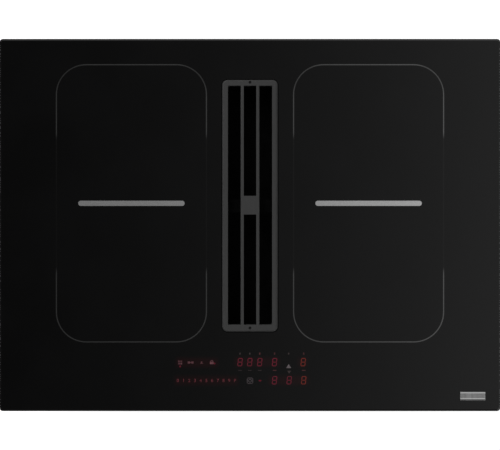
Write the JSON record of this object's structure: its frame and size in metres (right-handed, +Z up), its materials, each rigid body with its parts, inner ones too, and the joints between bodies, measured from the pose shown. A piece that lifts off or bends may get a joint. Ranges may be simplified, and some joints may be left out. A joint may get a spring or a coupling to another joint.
{
  "type": "downdraft induction cooktop",
  "caption": "Black glass induction hob with two bridge zones and a central downdraft grille over a filter, blower and flat duct outlet.",
  "frame": {"origin": "centre of the worktop seat: the plane of the worktop, under the glass's foam seal", "axes": "+X to the cook's right, +Y to the back of the worktop, +Z up out of the worktop"},
  "size_m": [0.7, 0.52, 0.201],
  "materials": {
    "black_glass": "glossy black ceramic glass, bevelled edge",
    "seal_foam": "closed-cell foam tape",
    "print_grey": "fired grey enamel line",
    "plate_metal": "fine brushed, bare",
    "grille_metal": "satin dark grey coating",
    "silicone": "black silicone",
    "black_moulding": "fine-grained black moulding",
    "grey_moulding": "fine-grained dark grey moulding",
    "filter_steel": "black enamelled steel sheet",
    "zinc_sheet": "galvanised sheet with a faint spangle",
    "alloy": "mill finish",
    "copper_winding": "lacquered litz winding",
    "mica": "pressed mica paper",
    "ferrite": "sintered dark grey",
    "circuit_board": "green solder mask",
    "component": "moulded component body",
    "display": "dark red display block",
    "plated_steel": "zinc-plated fastener",
    "motor_steel": "dark varnished steel",
    "light_moulding": "pale heat-resistant moulding"
  },
  "bodies": {
    "chassis": {"glass_top": "black_glass", "worktop_seal": "seal_foam", "zone_prints": "print_grey", "badge_plate": "plate_metal", "air_shaft": "black_moulding", "shaft_gasket": "silicone", "air_box": "black_moulding", "air_box_floor": "black_moulding", "blower_housing_upper": "black_moulding", "blower_housing_lower": "black_moulding", "motor_case": "motor_steel", "motor_stator": "motor_steel", "motor_bearings": "plated_steel", "motor_plate": "zinc_sheet", "outlet_spigot": "grey_moulding", "base_pan": "zinc_sheet", "mica_sheets": "mica", "coil_front_left": "copper_winding", "coil_back_left": "copper_winding", "coil_front_right": "copper_winding", "coil_back_right": "copper_winding", "coil_plate_left": "alloy", "coil_plate_right": "alloy", "ferrite_bars": "ferrite", "temperature_sensors": "light_moulding", "coil_posts": "plated_steel", "power_board_left": "circuit_board", "power_board_right": "circuit_board", "heatsink_left": "alloy", "heatsink_right": "alloy", "capacitors": "component", "fan_frame_left": "black_moulding", "fan_frame_right": "black_moulding", "control_tray": "light_moulding", "control_board": "circuit_board", "led_displays": "display", "touch_springs": "plated_steel", "terminal_box": "black_moulding", "terminal_block": "light_moulding", "cable_gland": "black_moulding", "clamp_brackets": "zinc_sheet", "clamp_screws": "plated_steel", "housing_screws": "plated_steel"},
    "filter": {"filter_basket": "filter_steel", "filter_mesh": "filter_steel", "filter_handle": "filter_steel"},
    "grille": {"grille": "grille_metal", "grille_pads": "silicone"},
    "drip_tray": {"drip_tray": "grey_moulding"},
    "terminal_lid": {"terminal_lid": "black_moulding"},
    "flap": {"outlet_flap": "grey_moulding", "flap_pin": "plated_steel"},
    "impeller": {"impeller": "light_moulding", "motor_shaft": "plated_steel"},
    "fan_left": {"fan_rotor_left": "black_moulding"},
    "fan_right": {"fan_rotor_right": "black_moulding"},
    "clamp_front_left": {"clamp_dog_front_left": "plated_steel"},
    "clamp_front_right": {"clamp_dog_front_right": "plated_steel"},
    "clamp_back_left": {"clamp_dog_back_left": "plated_steel"},
    "clamp_back_right": {"clamp_dog_back_right": "plated_steel"}
  },
  "joints": [
    {"name": "filter_lift", "type": "slide", "parent": "chassis", "child": "filter", "axis": [0, 0, 1], "range_m": [0, 0.12]},
    {"name": "grille_lift", "type": "slide", "parent": "filter", "child": "grille", "axis": [0, 0, 1], "range_m": [0, 0.08]},
    {"name": "drip_tray_slide", "type": "slide", "parent": "chassis", "child": "drip_tray", "axis": [0, -1, 0], "range_m": [0, 0.08]},
    {"name": "terminal_lid_slide", "type": "slide", "parent": "chassis", "child": "terminal_lid", "axis": [0, -1, 0], "range_m": [0, 0.06]},
    {"name": "flap_swing", "type": "hinge", "parent": "chassis", "child": "flap", "pos_m": [0.051, 0.222, -0.1075], "axis": [1, 0, 0], "range_deg": [0, 70]},
    {"name": "impeller_spin", "type": "hinge", "parent": "chassis", "child": "impeller", "pos_m": [0, 0.04, -0.15], "axis": [0, 0, 1], "continuous": true},
    {"name": "fan_spin_left", "type": "hinge", "parent": "chassis", "child": "fan_left", "pos_m": [-0.1656, -0.105, -0.048], "axis": [0, 0, 1], "continuous": true},
    {"name": "fan_spin_right", "type": "hinge", "parent": "chassis", "child": "fan_right", "pos_m": [0.1656, -0.105, -0.048], "axis": [0, 0, 1], "continuous": true},
    {"name": "clamp_swing_front_left", "type": "hinge", "parent": "chassis", "child": "clamp_front_left", "pos_m": [-0.238, -0.236, -0.042], "axis": [0, 0, 1], "range_deg": [0, 135]},
    {"name": "clamp_swing_back_left", "type": "hinge", "parent": "chassis", "child": "clamp_back_left", "pos_m": [-0.238, 0.236, -0.042], "axis": [0, 0, -1], "range_deg": [0, 135]},
    {"name": "clamp_swing_front_right", "type": "hinge", "parent": "chassis", "child": "clamp_front_right", "pos_m": [0.238, -0.236, -0.042], "axis": [0, 0, -1], "range_deg": [0, 135]},
    {"name": "clamp_swing_back_right", "type": "hinge", "parent": "chassis", "child": "clamp_back_right", "pos_m": [0.238, 0.236, -0.042], "axis": [0, 0, 1], "range_deg": [0, 135]}
  ]
}
